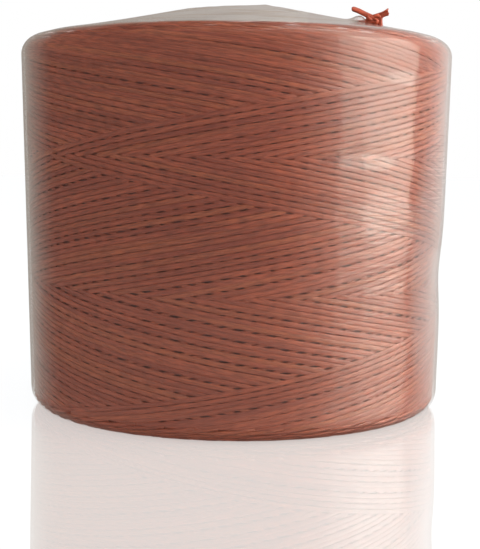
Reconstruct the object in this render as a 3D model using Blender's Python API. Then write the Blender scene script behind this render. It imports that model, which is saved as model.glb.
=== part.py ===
"""Spool of flat waxed thread: a precision cross-wound package on a board core, in a clear shrink wrap.

The package stands on its base, +Z up, with the origin at the centre of the base. All sizes are in
metres. The azimuth of a point is measured from -Y (the front) towards +X.

The thread has no flanges to hold it. Each turn climbs or falls at a steep helix angle, so the
strands cross each other and lock the ends of the package. Every double traverse of the strand is
laid beside the one before it, and at each crossing the younger strand lies over the older one.
"""

import math

import bmesh
import bpy
import numpy as np
from mathutils import Vector
from mathutils.kdtree import KDTree

# ---- Driving dimensions -------------------------------------------------------------------------

PACKAGE_TOP_RADIUS = 0.0443  # outside of the thread at the upper edge
PACKAGE_BASE_RADIUS = 0.0428  # outside of the thread at the lower edge, a little slimmer
PACKAGE_HEIGHT = 0.0751  # thread, from end face to end face
SHOULDER_RADIUS = 0.0028  # rounding of both edges, where the strand turns back

CORE_OUTER_RADIUS = 0.0150  # spiral-wound board tube
CORE_WALL = 0.0020
CORE_LENGTH = 0.0811  # stands proud of the thread at the top, flush at the base
CORE_RIM_RADIUS = 0.0006  # burnished rims

THREAD_WIDTH = 0.0010  # flat waxed thread
THREAD_THICKNESS = 0.0005
CROSSING_GAP = 0.00045  # air between two strands of the outer layer where they cross

DOUBLE_TRAVERSES = 6  # up-and-down strokes in the modelled outer layer
WHOLE_TURNS_PER_STROKE = 3  # turns in a double traverse, before the offset that spreads the strokes
OVER_SHOULDER = math.radians(48)  # how far round the shoulder the strand goes before it turns back
POINTS_PER_CROSSING = 2  # points of the strand from one crossing to the next

FILM_WALL = 0.0004
FIT = 0.0003  # air between pieces that touch

TAIL_AZIMUTH = math.radians(55)  # the loose end comes out at the front, to the right
TAIL_RADIUS = 0.0351  # how far from the axis it goes up through the wrap
TAIL_LEAD = math.radians(5)  # how far before its turning point the last strand leaves the shoulder
TAIL_BEND = 0.0012  # radius of the bend where it turns upwards

START_INSET = 0.0064  # how far inside the edge the layer's first strand rises from the end face
START_SWEEP = math.radians(6)  # how far round it goes on its way out to the shoulder
LEAD_RISE = 0.0030  # how strongly it goes on upwards before it bends over to the shoulder

KNOT_THREAD = 0.0007  # the thread is drawn round where it is knotted
KNOT_SCALE = 0.00042  # half the height of the knot's lobes
LEFT_END_REACH = 0.0036
LEFT_END_RISE = 0.0013
RIGHT_END_REACH = 0.0028
RIGHT_END_RISE = 0.0012
END_FLARE = 1.5  # how much wider the frayed right end is than the thread
END_SPREAD = 0.0006  # how far each end starts from the middle of the knot

# ---- Worked out from them -----------------------------------------------------------------------

CORE_BORE_RADIUS = CORE_OUTER_RADIUS - CORE_WALL
FLOOR_OF_THREAD = FILM_WALL + FIT
TOP_OF_THREAD = FLOOR_OF_THREAD + PACKAGE_HEIGHT
TOP_OF_CORE = FLOOR_OF_THREAD + CORE_LENGTH

# With one turn over the whole strokes, the crossings lie 2 * DOUBLE_TRAVERSES to a turn.
TURNS = DOUBLE_TRAVERSES * WHOLE_TURNS_PER_STROKE + 1
POINTS_PER_TURN = POINTS_PER_CROSSING * 2 * DOUBLE_TRAVERSES
POINTS_PER_PASS = POINTS_PER_CROSSING * TURNS
CHORD_SAG = PACKAGE_TOP_RADIUS * (1 - math.cos(math.pi / POINTS_PER_TURN))

UPPER_LEVEL = -THREAD_THICKNESS / 2
LOWER_LEVEL = UPPER_LEVEL - THREAD_THICKNESS - CROSSING_GAP
BODY_LEVEL = LOWER_LEVEL - THREAD_THICKNESS / 2 - CHORD_SAG - FIT

ROUND_SEGMENTS = 72
CORE_SEGMENTS = 48
SHOULDER_STEPS = 6

THREAD_COLOUR = (0.36, 0.100, 0.048, 1.0)
KNOT_COLOUR = (0.50, 0.110, 0.045, 1.0)
BOARD_COLOUR = (0.47, 0.36, 0.25, 1.0)
FILM_COLOUR = (0.92, 0.91, 0.90, 1.0)


# ---- Scene and materials ------------------------------------------------------------------------


def clear_scene():
    for old in list(bpy.data.objects):
        bpy.data.objects.remove(old, do_unlink=True)


def make_material(name, colour, roughness, alpha=1.0, coat=0.0):
    material = bpy.data.materials.new(name)
    material.use_nodes = True
    surface = material.node_tree.nodes["Principled BSDF"]
    surface.inputs["Base Color"].default_value = colour
    surface.inputs["Roughness"].default_value = roughness
    surface.inputs["Metallic"].default_value = 0.0
    surface.inputs["Alpha"].default_value = alpha
    surface.inputs["Coat Weight"].default_value = coat
    material.diffuse_color = (*colour[:3], alpha)
    return material


def add_object(name, mesh, material, smooth_angle=math.radians(35)):
    mesh.materials.append(material)
    mesh.shade_smooth()
    mesh.set_sharp_from_angle(angle=smooth_angle)
    made = bpy.data.objects.new(name, mesh)
    bpy.context.scene.collection.objects.link(made)
    return made


# ---- The package's surface ----------------------------------------------------------------------
# In the (radius, height) plane the package is a taut band round three circles: one in each
# shoulder and, for the wrap, one in the core's upper rim.

BASE_CENTRE = Vector((PACKAGE_BASE_RADIUS - SHOULDER_RADIUS, FLOOR_OF_THREAD + SHOULDER_RADIUS))
TOP_CENTRE = Vector((PACKAGE_TOP_RADIUS - SHOULDER_RADIUS, TOP_OF_THREAD - SHOULDER_RADIUS))
RIM_CENTRE = Vector((CORE_OUTER_RADIUS - CORE_RIM_RADIUS, TOP_OF_CORE - CORE_RIM_RADIUS))


def tangent_angle(first, first_radius, second, second_radius):
    """Angle of the outward normal of the line that touches both circles on their outer side."""
    across = second - first
    heading = math.atan2(across.y, across.x)
    return heading - math.acos((first_radius - second_radius) / across.length)


SIDE_ANGLE = tangent_angle(BASE_CENTRE, SHOULDER_RADIUS, TOP_CENTRE, SHOULDER_RADIUS)
TENT_ANGLE = tangent_angle(TOP_CENTRE, SHOULDER_RADIUS, RIM_CENTRE, CORE_RIM_RADIUS)


def on_circle(centre, radius, angle):
    return centre + radius * Vector((math.cos(angle), math.sin(angle)))


def arc(centre, radius, start, end, steps):
    return [on_circle(centre, radius, start + (end - start) * i / steps) for i in range(steps + 1)]


def wrap_profile(offset):
    """The taut wrap from the axis under the base to the axis over the core, offset outwards."""
    shoulder = SHOULDER_RADIUS + offset
    rim = CORE_RIM_RADIUS + offset
    down, up = -math.pi / 2, math.pi / 2
    points = arc(BASE_CENTRE, shoulder, down, SIDE_ANGLE, SHOULDER_STEPS)
    points += arc(TOP_CENTRE, shoulder, SIDE_ANGLE, TENT_ANGLE, SHOULDER_STEPS)
    points += arc(RIM_CENTRE, rim, TENT_ANGLE, up, 3)
    return [Vector((0.0, points[0].y))] + points + [Vector((0.0, points[-1].y))]


def package_profile(offset):
    """The thread's own outline on its side and shoulders, from end face to end face."""
    shoulder = SHOULDER_RADIUS + offset
    points = arc(BASE_CENTRE, shoulder, -math.pi / 2, SIDE_ANGLE, SHOULDER_STEPS)
    return points + arc(TOP_CENTRE, shoulder, SIDE_ANGLE, math.pi / 2, SHOULDER_STEPS)


def at_azimuth(radius, azimuth, height):
    return Vector((radius * math.sin(azimuth), -radius * math.cos(azimuth), height))


def revolve(name, profile, segments, material):
    """Turns a closed profile, listed with the solid on its left, about the axis."""
    shape = bmesh.new()
    rings = []
    for point in profile:
        if point.x < 1e-7:
            rings.append([shape.verts.new((0.0, 0.0, point.y))] * segments)
            continue
        turn = 2 * math.pi / segments
        rings.append([shape.verts.new(at_azimuth(point.x, turn * i, point.y)) for i in range(segments)])
    for low, high in zip(rings, rings[1:] + rings[:1]):
        for i in range(segments):
            j = (i + 1) % segments
            corners = [low[i], low[j], high[j], high[i]]
            corners = [v for k, v in enumerate(corners) if v not in corners[:k]]
            if len(corners) > 2:
                shape.faces.new(corners)
    mesh = bpy.data.meshes.new(name)
    shape.to_mesh(mesh)
    shape.free()
    return add_object(name, mesh, material)


# ---- Ribbons of thread --------------------------------------------------------------------------


def sweep(name, points, normals, widths, thicknesses, material):
    """One unbroken strand of six sides: a flattened hexagon carried along the points."""
    count = len(points)
    rings = ribbon_rings(points, normals, widths, thicknesses)
    shape = bmesh.new()
    verts = [[shape.verts.new(corner) for corner in ring] for ring in rings]
    for k in range(count - 1):
        for i in range(6):
            j = (i + 1) % 6
            shape.faces.new([verts[k][i], verts[k][j], verts[k + 1][j], verts[k + 1][i]])
    shape.faces.new(verts[0][::-1])
    shape.faces.new(verts[-1])
    bmesh.ops.recalc_face_normals(shape, faces=shape.faces)
    mesh = bpy.data.meshes.new(name)
    shape.to_mesh(mesh)
    shape.free()
    return add_object(name, mesh, material, math.radians(62))


def ribbon_rings(points, normals, widths, thicknesses):
    """The six corners of the strand at each point, flat side square to the normal there."""
    rings = []
    last = len(points) - 1
    for k, point in enumerate(points):
        along = (points[min(k + 1, last)] - points[max(k - 1, 0)]).normalized()
        up = (normals[k] - along * normals[k].dot(along)).normalized()
        side = along.cross(up)
        half, rise = widths[k] / 2, thicknesses[k] / 2
        flat = ((half, 0), (half / 2, rise), (-half / 2, rise))
        corners = flat + tuple((-x, -y) for x, y in flat)
        rings.append([point + side * x + up * y for x, y in corners])
    return rings


def hermite(start, start_way, end, end_way, steps):
    """Points of a smooth curve from start to end, whose ways are its directions times their pull."""
    points = []
    for i in range(steps + 1):
        t = i / steps
        points.append(
            start * (2 * t**3 - 3 * t**2 + 1)
            + start_way * (t**3 - 2 * t**2 + t)
            + end * (3 * t**2 - 2 * t**3)
            + end_way * (t**3 - t**2)
        )
    return points


def turned_normals(first, last, count):
    """Normals that turn evenly from first to last."""
    return [first.slerp(last, i / (count - 1)) for i in range(count)]


# ---- The outer layer of the winding -------------------------------------------------------------


def meridian(share):
    """(circle centre or foot on the side, angle of the normal) at this share of the outline.

    share runs from 0, as far round the lower shoulder as the strand goes, to 1 at the upper one.
    The two shoulder arcs and the straight side between them are measured by their real lengths.
    """
    side = TOP_CENTRE - BASE_CENTRE
    round_end = SHOULDER_RADIUS * OVER_SHOULDER
    distance = share * (side.length + 2 * round_end)
    if distance < round_end:
        return BASE_CENTRE, SIDE_ANGLE - (round_end - distance) / SHOULDER_RADIUS
    distance -= round_end
    if distance <= side.length:
        return BASE_CENTRE + side * (distance / side.length), SIDE_ANGLE
    return TOP_CENTRE, SIDE_ANGLE + (distance - side.length) / SHOULDER_RADIUS


def on_package(share, azimuth, level):
    """(point, outward normal) on the package, level metres outside its outline."""
    centre, angle = meridian(share)
    spot = on_circle(centre, SHOULDER_RADIUS + level, angle)
    outward = at_azimuth(math.cos(angle), azimuth, math.sin(angle))
    return at_azimuth(spot.x, azimuth, spot.y), outward


def stroke_share(position):
    """Place along the outline of a strand position, counted in points from the first turn-back.

    The strand falls and climbs in turn at an even rate, POINTS_PER_PASS points for each pass.
    """
    passes, part = divmod(position, POINTS_PER_PASS)
    part /= POINTS_PER_PASS
    return 1 - part if passes % 2 == 0 else part


def crossing_is_upper(position):
    """True if the strand at this crossing lies over the other one, because it is the younger.

    The other strand is at the same azimuth, a whole number of turns away, and at the same height on
    a pass that runs the other way.
    """
    this_pass, part = divmod(position, POINTS_PER_PASS)
    for other_pass in range(2 * DOUBLE_TRAVERSES):
        if (other_pass - this_pass) % 2 == 0:
            continue
        other = other_pass * POINTS_PER_PASS + POINTS_PER_PASS - part
        if (other - position) % POINTS_PER_TURN == 0:
            return other < position
    return True


def layer_points():
    """Points and normals of the outer layer, half a step either side of each crossing."""
    points, normals = [], []
    for index in range(1, TURNS * POINTS_PER_TURN - 1):
        position = index + 0.5
        crossing = POINTS_PER_CROSSING * round(position / POINTS_PER_CROSSING)
        level = UPPER_LEVEL if crossing_is_upper(crossing) else LOWER_LEVEL
        azimuth = APEX_AZIMUTH + 2 * math.pi * position / POINTS_PER_TURN
        point, normal = on_package(stroke_share(position), azimuth, level)
        points.append(point)
        normals.append(normal)
    return points, normals


END_FACE_TOP = TOP_OF_THREAD + BODY_LEVEL
APEX_AZIMUTH = TAIL_AZIMUTH + TAIL_LEAD
TAIL_HEIGHT = TOP_OF_THREAD + LOWER_LEVEL
INWARD = at_azimuth(-1.0, TAIL_AZIMUTH, 0.0)
UP = Vector((0.0, 0.0, 1.0))


def winding_path():
    """The whole strand: rises from the end face, winds the layer and ends on the end face."""
    points, normals = layer_points()
    start_azimuth = APEX_AZIMUTH + TAIL_LEAD
    start_radius = PACKAGE_TOP_RADIUS - START_INSET
    foot = at_azimuth(start_radius, start_azimuth, END_FACE_TOP + FIT)
    risen = foot + UP * THREAD_WIDTH
    inwards = at_azimuth(-1.0, start_azimuth, 0.0)
    shoulder, shoulder_normal = on_package(1.0, start_azimuth + START_SWEEP, LOWER_LEVEL)
    over = (points[0] - risen).normalized()
    joining = (points[1] - points[0]).normalized()
    lead_in = hermite(risen, UP * LEAD_RISE, shoulder, over * (shoulder - risen).length, 4)[:-1]
    pull = (points[0] - shoulder).length
    across = hermite(shoulder, over * LEAD_RISE, points[0], joining * pull, 3)[:-1]
    in_normals = [inwards] + turned_normals(inwards, shoulder_normal, len(lead_in) + 1)[:-1]
    in_normals += turned_normals(shoulder_normal, normals[0], len(across) + 1)[:-1]
    lead_in += across

    tail_foot = TAIL_RADIUS + TAIL_BEND + 2 * THREAD_WIDTH + FIT
    landed = at_azimuth(tail_foot, TAIL_AZIMUTH, TAIL_HEIGHT)
    pull = (landed - points[-1]).length
    leaving = (points[-1] - points[-2]).normalized() * pull
    lead_out = hermite(points[-1], leaving, landed, INWARD * pull, 6)[1:]
    out_normals = turned_normals(normals[-1], UP, len(lead_out) + 1)[1:] + [UP]
    points = [foot] + lead_in + points + lead_out + [landed + INWARD * THREAD_WIDTH]
    return points, in_normals + normals + out_normals


def least_gap(rings):
    """Least distance between two stretches of the strand, on points of its skin.

    Points within one width of each other along the strand belong to the same stretch.
    """
    skin, along = [], []
    travelled = 0.0
    steps = 8
    for k in range(len(rings) - 1):
        here, there = np.array(rings[k]), np.array(rings[k + 1])
        length = float(np.linalg.norm(there.mean(axis=0) - here.mean(axis=0)))
        for i in range(steps):
            ring = here + (there - here) * (i / steps)
            skin.extend(ring)
            skin.extend((ring + np.roll(ring, 1, axis=0)) / 2)
            along.extend([travelled + length * i / steps] * 12)
        travelled += length
    tree = KDTree(len(skin))
    for index, point in enumerate(skin):
        tree.insert(point, index)
    tree.balance()
    reach, least = 4 * CROSSING_GAP, math.inf
    for index, point in enumerate(skin):
        for _, other, distance in tree.find_range(point, reach):
            if distance < least and abs(along[other] - along[index]) > 8 * THREAD_WIDTH:
                least = distance
    return least


def build_outer_winding(material):
    points, normals = winding_path()
    widths = [THREAD_WIDTH] * len(points)
    thicknesses = [THREAD_THICKNESS] * len(points)
    gap = least_gap(ribbon_rings(points, normals, widths, thicknesses))
    print(f"outer winding: {TURNS} turns, least gap to itself {1000 * gap:.3f} mm")
    return sweep("outer_winding", points, normals, widths, thicknesses, material)


# ---- Core, inner winding and wrap ---------------------------------------------------------------


def build_core_tube(material):
    rim, top, base = CORE_RIM_RADIUS, TOP_OF_CORE, FLOOR_OF_THREAD
    outer, bore = CORE_OUTER_RADIUS, CORE_BORE_RADIUS
    quarter = math.pi / 2
    profile = arc(Vector((outer - rim, base + rim)), rim, -quarter, 0, 3)
    profile += arc(Vector((outer - rim, top - rim)), rim, 0, quarter, 3)
    profile += arc(Vector((bore + rim, top - rim)), rim, quarter, 2 * quarter, 3)
    profile += arc(Vector((bore + rim, base + rim)), rim, 2 * quarter, 3 * quarter, 3)
    return revolve("core_tube", profile, CORE_SEGMENTS, material)


def build_wound_body(material):
    """The inner layers, as one turned form that the outer layer lies on."""
    outline = package_profile(BODY_LEVEL)
    bore = CORE_OUTER_RADIUS + FIT
    profile = [Vector((bore, outline[0].y))] + outline + [Vector((bore, outline[-1].y))]
    return revolve("wound_body", profile, ROUND_SEGMENTS, material)


def film_spot(offset):
    """(point, outward normal) on the tented top of the wrap above the tail."""
    start = on_circle(TOP_CENTRE, SHOULDER_RADIUS + offset, TENT_ANGLE)
    end = on_circle(RIM_CENTRE, CORE_RIM_RADIUS + offset, TENT_ANGLE)
    share = (start.x - TAIL_RADIUS) / (start.x - end.x)
    height = start.y + (end.y - start.y) * share
    normal = at_azimuth(math.cos(TENT_ANGLE), TAIL_AZIMUTH, math.sin(TENT_ANGLE))
    return at_azimuth(TAIL_RADIUS, TAIL_AZIMUTH, height), normal


def build_shrink_film(material):
    """A thin shell, taut from the base round both shoulders and up over the core's rim."""
    inner, outer = wrap_profile(FIT), wrap_profile(FIT + FILM_WALL)
    shell = revolve("shrink_film", outer + inner[::-1], ROUND_SEGMENTS, material)

    slit = bmesh.new()
    radius = THREAD_WIDTH / 2 + FIT
    depth = 4 * (FILM_WALL + radius)
    bmesh.ops.create_cone(slit, cap_ends=True, segments=12, radius1=radius, radius2=radius, depth=depth)
    mesh = bpy.data.meshes.new("tail_slit")
    slit.to_mesh(mesh)
    slit.free()
    cutter = bpy.data.objects.new("tail_slit", mesh)
    cutter.location = film_spot(FIT)[0]
    cutter.hide_render = True
    cutter.display_type = "WIRE"
    bpy.context.scene.collection.objects.link(cutter)
    cut = shell.modifiers.new("tail_slit", "BOOLEAN")
    cut.object = cutter
    cut.operation = "DIFFERENCE"
    cut.solver = "EXACT"
    return shell


# ---- The knotted loose end ----------------------------------------------------------------------


def build_thread_tail(material):
    """Goes on from the outer layer, bends up and passes through the wrap."""
    start_radius = TAIL_RADIUS + TAIL_BEND + THREAD_WIDTH
    start = at_azimuth(start_radius, TAIL_AZIMUTH, TAIL_HEIGHT)
    bend_start = start + INWARD * THREAD_WIDTH
    centre = bend_start + UP * TAIL_BEND
    points, normals = [start], [UP]
    steps = 5
    for i in range(steps + 1):
        angle = math.pi / 2 * i / steps
        radial = INWARD * math.sin(angle) - UP * math.cos(angle)
        points.append(centre + radial * TAIL_BEND)
        normals.append(-radial)
    top = film_spot(FIT + FILM_WALL)[0]
    points.append(Vector((points[-1].x, points[-1].y, top.z)))
    normals.append(normals[-1])
    count = len(points)
    widths, thicknesses = [THREAD_WIDTH] * count, [THREAD_THICKNESS] * count
    return sweep("thread_tail", points, normals, widths, thicknesses, material)


def knot_frame():
    """(centre, across, along, outward) of the knot, which lies on the sloping wrap."""
    spot, outward = film_spot(FIT + FILM_WALL)
    centre = spot + outward * (FIT + KNOT_SCALE + KNOT_THREAD / 2)
    across = UP.cross(outward).normalized()
    return centre, across, outward.cross(across), outward


def build_tail_knot(material):
    """A trefoil drawn tight: three lobes, each passing over and under its neighbours."""
    centre, across, along, outward = knot_frame()
    curve = bpy.data.curves.new("tail_knot", "CURVE")
    curve.dimensions = "3D"
    curve.bevel_depth = KNOT_THREAD / 2
    curve.bevel_resolution = 1
    line = curve.splines.new("POLY")
    count = 48
    line.points.add(count - 1)
    for i, point in enumerate(line.points):
        t = 2 * math.pi * i / count
        x = math.sin(t) + 2 * math.sin(2 * t)
        y = math.cos(t) - 2 * math.cos(2 * t)
        spot = centre + KNOT_SCALE * (across * x + along * y - outward * math.sin(3 * t))
        point.co = (*spot, 1.0)
    line.use_cyclic_u = True
    line.use_smooth = True
    curve.materials.append(material)
    made = bpy.data.objects.new("tail_knot", curve)
    bpy.context.scene.collection.objects.link(made)
    return made


def build_tail_end(name, side, reach, rise, flare, material):
    """A short free end that curves up and away from the knot, side -1 to the left or 1 to the right."""
    centre, _, _, outward = knot_frame()
    away = Vector((side, 0.0, 0.0))
    root = centre + outward * (KNOT_SCALE + KNOT_THREAD / 2 + FIT + THREAD_THICKNESS / 2)
    start = root + away * END_SPREAD
    end = start + away * reach + UP * rise
    leaving = (away + 0.2 * UP) * reach
    points = hermite(start, leaving, end, away * reach + UP * rise, 7)
    share = [i / (len(points) - 1) for i in range(len(points))]
    widths = [THREAD_WIDTH * (1 + (flare - 1) * t * t) for t in share]
    thicknesses = [THREAD_THICKNESS] * len(points)
    return sweep(name, points, [UP] * len(points), widths, thicknesses, material)


def main():
    clear_scene()
    thread = make_material("waxed_thread", THREAD_COLOUR, 0.42, coat=0.25)
    knotted = make_material("waxed_thread_end", KNOT_COLOUR, 0.45, coat=0.2)
    board = make_material("core_board", BOARD_COLOUR, 0.85)
    film = make_material("clear_film", FILM_COLOUR, 0.06, alpha=0.18)

    build_core_tube(board)
    build_wound_body(thread)
    build_outer_winding(thread)
    build_thread_tail(thread)
    build_tail_knot(knotted)
    build_tail_end("tail_end_left", -1, LEFT_END_REACH, LEFT_END_RISE, 1.0, knotted)
    build_tail_end("tail_end_right", 1, RIGHT_END_REACH, RIGHT_END_RISE, END_FLARE, knotted)
    build_shrink_film(film)


main()
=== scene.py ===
"""Looks of the waxed thread spool: every strand of its outer layer, its end faces, wrap and knot.

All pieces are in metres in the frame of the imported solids: the package stands on its base, +Z up,
with its axis on the Z axis. An azimuth is measured from -Y (the front) towards +X, in radians.
"""

import logging
import math
from dataclasses import dataclass
from enum import Enum
from functools import reduce

import bpy
import mathutils
import numpy as np
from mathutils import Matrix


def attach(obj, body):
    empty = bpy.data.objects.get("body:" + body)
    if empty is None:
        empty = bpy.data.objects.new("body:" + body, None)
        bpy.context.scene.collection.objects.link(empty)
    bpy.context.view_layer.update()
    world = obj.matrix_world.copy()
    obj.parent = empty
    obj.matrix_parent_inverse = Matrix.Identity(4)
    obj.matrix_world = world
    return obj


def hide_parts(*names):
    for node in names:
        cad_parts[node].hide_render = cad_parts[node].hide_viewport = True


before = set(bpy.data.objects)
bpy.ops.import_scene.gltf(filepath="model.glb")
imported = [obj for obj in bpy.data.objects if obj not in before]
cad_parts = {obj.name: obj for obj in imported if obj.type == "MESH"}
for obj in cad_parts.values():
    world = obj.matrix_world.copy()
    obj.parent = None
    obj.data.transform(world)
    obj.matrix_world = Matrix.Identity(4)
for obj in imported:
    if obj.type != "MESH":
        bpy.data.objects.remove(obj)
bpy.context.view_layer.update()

LOG = logging.getLogger("thread_spool")
UP = np.array([0.0, 0.0, 1.0])
QUARTER = math.pi / 2
CENTIMETRES = 100.0  # in a metre, the unit of the UV maps

Array = np.ndarray
Colour = tuple[float, float, float]
Span = tuple[float, float]  # a low and a high end, or the values at them
Socket = bpy.types.NodeSocket

WHITE = (1.0, 1.0, 1.0)
BLACK = (0.0, 0.0, 0.0)


# ---- Mesh helpers -------------------------------------------------------------------------------


def at_azimuth(radius: Array, azimuth: Array, height: Array) -> Array:
    """Points (radius sin azimuth, -radius cos azimuth, height), on a new last axis."""
    radius, azimuth, height = np.broadcast_arrays(radius, azimuth, height)
    return np.stack([radius * np.sin(azimuth), -radius * np.cos(azimuth), height], axis=-1)


def unit(vectors: Array) -> Array:
    """Vectors scaled to length one along the last axis."""
    return vectors / np.maximum(np.linalg.norm(vectors, axis=-1, keepdims=True), 1e-12)


def turn_from(middle: float, azimuth: Array) -> Array:
    """Angle from the middle to the azimuth, at most half a turn either way."""
    return (azimuth - middle + np.pi) % (2 * np.pi) - np.pi


def smooth_step(low: float, high: float, value: Array) -> Array:
    """0 below low, 1 above high, and 3t^2 - 2t^3 between them."""
    share = np.clip((value - low) / (high - low), 0.0, 1.0)
    return share * share * (3 - 2 * share)


def lengths_of(points: Array) -> Array:
    """Length along lines of points, an array (..., n, axes), at each of their points."""
    steps = np.linalg.norm(np.diff(points, axis=-2), axis=-1)
    return np.concatenate([np.zeros_like(steps[..., :1]), np.cumsum(steps, axis=-1)], axis=-1)


def shares_of(points: Array) -> Array:
    """Length along one line at each of its points, as a share of the whole."""
    return lengths_of(points) / lengths_of(points)[-1]


def hermite(start: Array, start_way: Array, end: Array, end_way: Array, steps: int) -> Array:
    """Points of the cubics from start to end with the given ways at both, (..., steps + 1, 3)."""
    t = np.linspace(0, 1, steps + 1)[:, None]
    shares = (2 * t**3 - 3 * t**2 + 1, t**3 - 2 * t**2 + t, 3 * t**2 - 2 * t**3, t**3 - t**2)
    ends = (start, start_way, end, end_way)
    return sum(value[..., None, :] * share for value, share in zip(ends, shares))


def wander(rng: np.random.Generator, places: Array, step: float) -> Array:
    """Random values that change smoothly along places.

    Formula: one random number for every step of length, joined by a raised cosine.

    Args:
        rng: source of the random numbers.
        places: positions, any unit.
        step: distance between two random numbers, in the same unit.

    Returns:
        Values from -1 to 1, one for each place.
    """
    scaled = (places - places.min()) / step
    knots = rng.uniform(-1.0, 1.0, int(scaled.max()) + 2)
    cell = np.minimum(scaled.astype(int), len(knots) - 2)
    blend = (1 - np.cos(np.pi * (scaled - cell))) / 2
    return knots[cell] * (1 - blend) + knots[cell + 1] * blend


def mesh_object(
    name: str, points: Array, quads: Array, uvs: Array | None = None, smooth: bool = True
) -> bpy.types.Object:
    """A mesh object at the origin from arrays of points and faces.

    Args:
        name: the piece's name.
        points: coordinates, array (..., 3).
        quads: rows of four point numbers, counter-clockwise from outside. A row whose last two
            numbers are the same is a triangle.
        uvs: two coordinates for each corner of each quad, in the quads' order, or None.
        smooth: True to shade the faces smooth.

    Returns:
        The object, linked to the scene.
    """
    points = np.asarray(points, np.float32).reshape(-1, 3)
    keep = np.ones(quads.shape, bool)
    keep[:, 3] = quads[:, 3] != quads[:, 2]
    totals = keep.sum(axis=1).astype(np.int32)
    mesh = bpy.data.meshes.new(name)
    mesh.vertices.add(len(points))
    mesh.vertices.foreach_set("co", points.ravel())
    mesh.loops.add(int(totals.sum()))
    mesh.loops.foreach_set("vertex_index", quads[keep].astype(np.int32))
    mesh.polygons.add(len(quads))
    starts = np.concatenate([[0], np.cumsum(totals)[:-1]]).astype(np.int32)
    mesh.polygons.foreach_set("loop_start", starts)
    mesh.polygons.foreach_set("loop_total", totals)
    if uvs is not None:
        corners = np.asarray(uvs, np.float32).reshape(*quads.shape, 2)[keep]
        mesh.uv_layers.new(name="strand").data.foreach_set("uv", corners.ravel())
    mesh.update(calc_edges=True)
    mesh.validate()
    if smooth:
        mesh.shade_smooth()
    made = bpy.data.objects.new(name, mesh)
    bpy.context.scene.collection.objects.link(made)
    return made


def grid_quads(rows: int, columns: int, close_rows: bool = False) -> Array:
    """Faces of a grid of points that is numbered row by row, where each row is a closed ring.

    Args:
        rows: number of rows of points.
        columns: number of points in a row.
        close_rows: True if the last row joins the first.

    Returns:
        Rows of four point numbers.
    """
    gaps = rows if close_rows else rows - 1
    r, c = np.meshgrid(np.arange(gaps), np.arange(columns), indexing="ij")
    here, above, after = r * columns, (r + 1) % rows * columns, (c + 1) % columns
    return np.stack([here + c, here + after, above + after, above + c], axis=-1).reshape(-1, 4)


def face_uvs(along: Array, low: Array, high: Array) -> Array:
    """Two coordinates at the corners of each face of a grid, in the order of grid_quads.

    Args:
        along: the first coordinate at each row of points, array (..., rows).
        low: the second coordinate at the start of each face of a row.
        high: the second coordinate at its end.

    Returns:
        Array (..., rows - 1, columns, 4, 2).
    """
    before, after = along[..., :-1, None], along[..., 1:, None]
    corners = ((before, low), (before, high), (after, high), (after, low))
    return np.stack([np.stack(np.broadcast_arrays(*c), axis=-1) for c in corners], axis=-2)


@dataclass(frozen=True)
class StrandSection:
    """Cross-section of a strand, as corners in shares of half its width and half its thickness."""

    corners: tuple[Span, ...]

    def rings(self, points: Array, outward: Array, width: Array, thickness: Array) -> Array:
        """The section's corners carried along lines of points.

        Formula: corner = point + side * x * width / 2 + up * y * thickness / 2, where up is the
        outward normal made square to the line and side is the line's way crossed with up.

        Args:
            points: array (..., n, 3) of lines with n points each.
            outward: normals of the strand's flat side, same shape.
            width: widths at the points, broadcast to (..., n).
            thickness: thicknesses at the points, broadcast to (..., n).

        Returns:
            Array (..., n, corners, 3).
        """
        way = unit(np.gradient(points, axis=-2))
        up = unit(outward - way * np.sum(outward * way, axis=-1, keepdims=True))
        side = np.cross(way, up)
        x, y = (np.array(self.corners) / 2).T[..., None]
        width = np.broadcast_to(width, points.shape[:-1])[..., None, None]
        thickness = np.broadcast_to(thickness, points.shape[:-1])[..., None, None]
        across = side[..., None, :] * x * width
        return points[..., None, :] + across + up[..., None, :] * y * thickness


FOUR_SIDED = StrandSection(((1.0, 0.0), (0.0, 1.0), (-1.0, 0.0), (0.0, -1.0)))
SIX_SIDED = StrandSection((
    (1.0, -0.1), (0.55, 0.8), (-0.55, 0.8), (-1.0, -0.1), (-0.55, -0.9), (0.55, -0.9),
))
EIGHT_SIDED = StrandSection((
    (1.0, -0.15), (0.87, 0.55), (0.66, 0.85), (-0.66, 0.85),
    (-0.87, 0.55), (-1.0, -0.15), (-0.6, -0.9), (0.6, -0.9),
))


def strands_object(name: str, rings: Array, lengths: Array) -> bpy.types.Object:
    """One closed tube for each line of rings, in one mesh.

    The UV map runs with the strand: U is the length along it in centimetres and V goes from 0 to 1
    round it. At both ends face k joins corners k and k + 1 to those opposite them.

    Args:
        name: the piece's name.
        rings: array (lines, n, corners, 3), with an even number of corners.
        lengths: length along the strand at each ring, array (lines, n), in metres.

    Returns:
        The object.
    """
    lines, count, corners, _ = rings.shape
    around = np.linalg.norm(np.roll(rings[0, 0], -1, axis=0) - rings[0, 0], axis=1)
    u = CENTIMETRES * lengths
    v = np.concatenate([[0.0], np.cumsum(around)]) / around.sum()
    k = np.arange(corners // 2 - 1)
    cap = np.stack([k + 1, k, corners - 1 - k, corners - 2 - k], axis=1)
    far_cap = (count - 1) * corners + cap[:, ::-1]
    faces = np.concatenate([grid_quads(count, corners), cap, far_cap])
    cap_uvs = np.full((lines, 2 * len(cap), 4, 2), 0.5)
    cap_uvs[..., 0] = u[:, :1, None]
    sides = face_uvs(u, v[:-1], v[1:]).reshape(lines, -1, 4, 2)
    offsets = (np.arange(lines) * count * corners)[:, None, None]
    uvs = np.concatenate([sides, cap_uvs], axis=1)
    return mesh_object(name, rings, (faces + offsets).reshape(-1, 4), uvs)


# ---- The package's outline ----------------------------------------------------------------------


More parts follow.
